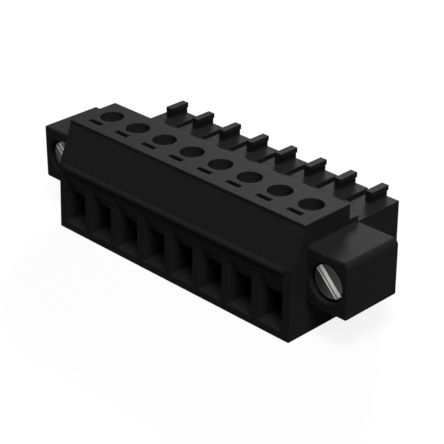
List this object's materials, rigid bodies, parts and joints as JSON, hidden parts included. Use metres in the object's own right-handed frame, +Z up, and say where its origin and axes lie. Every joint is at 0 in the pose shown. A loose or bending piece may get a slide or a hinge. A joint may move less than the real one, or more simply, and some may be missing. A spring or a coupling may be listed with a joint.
{
  "type": "pcb terminal block",
  "caption": "Black pluggable screw terminal block with sloped wire entries, screwdriver holes on top, rising clamp cages and a captive slotted screw in each end flange.",
  "frame": {"origin": "centre of the underside of the whole part's box", "axes": "+X along the row of poles, -Y out of the wire entries, +Y out of the mating face, +Z up through the screwdriver holes"},
  "size_m": [0.0406, 0.0148, 0.0111],
  "materials": {
    "housing": "moulded, fine satin",
    "screw": "bright zinc plated",
    "cage": "nickel plated",
    "contact": "tin plated"
  },
  "bodies": {
    "block": {"housing": "housing", "contact_1": "contact", "contact_2": "contact", "contact_3": "contact", "contact_4": "contact", "contact_5": "contact", "contact_6": "contact", "contact_7": "contact", "contact_8": "contact"},
    "clamp_screw_1": {"clamp_screw_1": "screw"},
    "clamp_cage_1": {"clamp_cage_1": "cage"},
    "clamp_screw_2": {"clamp_screw_2": "screw"},
    "clamp_cage_2": {"clamp_cage_2": "cage"},
    "clamp_screw_3": {"clamp_screw_3": "screw"},
    "clamp_cage_3": {"clamp_cage_3": "cage"},
    "clamp_screw_4": {"clamp_screw_4": "screw"},
    "clamp_cage_4": {"clamp_cage_4": "cage"},
    "clamp_screw_5": {"clamp_screw_5": "screw"},
    "clamp_cage_5": {"clamp_cage_5": "cage"},
    "clamp_screw_6": {"clamp_screw_6": "screw"},
    "clamp_cage_6": {"clamp_cage_6": "cage"},
    "clamp_screw_7": {"clamp_screw_7": "screw"},
    "clamp_cage_7": {"clamp_cage_7": "cage"},
    "clamp_screw_8": {"clamp_screw_8": "screw"},
    "clamp_cage_8": {"clamp_cage_8": "cage"},
    "flange_screw_left": {"flange_screw_left": "screw"},
    "flange_screw_right": {"flange_screw_right": "screw"}
  },
  "joints": [
    {"name": "clamp_screw_1_turn", "type": "hinge", "parent": "block", "child": "clamp_screw_1", "pos_m": [-0.01333, -0.00204, 0.00835], "axis": [0, 0, -1], "range_deg": [0, 1980]},
    {"name": "clamp_cage_1_lift", "type": "slide", "parent": "block", "child": "clamp_cage_1", "axis": [0, 0, 1], "range_m": [0, 0.0022]},
    {"name": "clamp_screw_2_turn", "type": "hinge", "parent": "block", "child": "clamp_screw_2", "pos_m": [-0.00953, -0.00204, 0.00835], "axis": [0, 0, -1], "range_deg": [0, 1980]},
    {"name": "clamp_cage_2_lift", "type": "slide", "parent": "block", "child": "clamp_cage_2", "axis": [0, 0, 1], "range_m": [0, 0.0022]},
    {"name": "clamp_screw_3_turn", "type": "hinge", "parent": "block", "child": "clamp_screw_3", "pos_m": [-0.00571, -0.00204, 0.00835], "axis": [0, 0, -1], "range_deg": [0, 1980]},
    {"name": "clamp_cage_3_lift", "type": "slide", "parent": "block", "child": "clamp_cage_3", "axis": [0, 0, 1], "range_m": [0, 0.0022]},
    {"name": "clamp_screw_4_turn", "type": "hinge", "parent": "block", "child": "clamp_screw_4", "pos_m": [-0.00191, -0.00204, 0.00835], "axis": [0, 0, -1], "range_deg": [0, 1980]},
    {"name": "clamp_cage_4_lift", "type": "slide", "parent": "block", "child": "clamp_cage_4", "axis": [0, 0, 1], "range_m": [0, 0.0022]},
    {"name": "clamp_screw_5_turn", "type": "hinge", "parent": "block", "child": "clamp_screw_5", "pos_m": [0.00191, -0.00204, 0.00835], "axis": [0, 0, -1], "range_deg": [0, 1980]},
    {"name": "clamp_cage_5_lift", "type": "slide", "parent": "block", "child": "clamp_cage_5", "axis": [0, 0, 1], "range_m": [0, 0.0022]},
    {"name": "clamp_screw_6_turn", "type": "hinge", "parent": "block", "child": "clamp_screw_6", "pos_m": [0.00571, -0.00204, 0.00835], "axis": [0, 0, -1], "range_deg": [0, 1980]},
    {"name": "clamp_cage_6_lift", "type": "slide", "parent": "block", "child": "clamp_cage_6", "axis": [0, 0, 1], "range_m": [0, 0.0022]},
    {"name": "clamp_screw_7_turn", "type": "hinge", "parent": "block", "child": "clamp_screw_7", "pos_m": [0.00953, -0.00204, 0.00835], "axis": [0, 0, -1], "range_deg": [0, 1980]},
    {"name": "clamp_cage_7_lift", "type": "slide", "parent": "block", "child": "clamp_cage_7", "axis": [0, 0, 1], "range_m": [0, 0.0022]},
    {"name": "clamp_screw_8_turn", "type": "hinge", "parent": "block", "child": "clamp_screw_8", "pos_m": [0.01333, -0.00204, 0.00835], "axis": [0, 0, -1], "range_deg": [0, 1980]},
    {"name": "clamp_cage_8_lift", "type": "slide", "parent": "block", "child": "clamp_cage_8", "axis": [0, 0, 1], "range_m": [0, 0.0022]},
    {"name": "flange_screw_left_turn", "type": "hinge", "parent": "block", "child": "flange_screw_left", "pos_m": [-0.01784, -0.00503, 0.00606], "axis": [0, 1, 0], "continuous": true},
    {"name": "flange_screw_right_turn", "type": "hinge", "parent": "block", "child": "flange_screw_right", "pos_m": [0.01784, -0.00503, 0.00606], "axis": [0, 1, 0], "continuous": true}
  ],
  "couplings": [
    {"joint": "clamp_screw_1_turn", "follows": "clamp_cage_1_lift", "rad_per_m": 15708},
    {"joint": "clamp_screw_2_turn", "follows": "clamp_cage_2_lift", "rad_per_m": 15708},
    {"joint": "clamp_screw_3_turn", "follows": "clamp_cage_3_lift", "rad_per_m": 15708},
    {"joint": "clamp_screw_4_turn", "follows": "clamp_cage_4_lift", "rad_per_m": 15708},
    {"joint": "clamp_screw_5_turn", "follows": "clamp_cage_5_lift", "rad_per_m": 15708},
    {"joint": "clamp_screw_6_turn", "follows": "clamp_cage_6_lift", "rad_per_m": 15708},
    {"joint": "clamp_screw_7_turn", "follows": "clamp_cage_7_lift", "rad_per_m": 15708},
    {"joint": "clamp_screw_8_turn", "follows": "clamp_cage_8_lift", "rad_per_m": 15708}
  ]
}
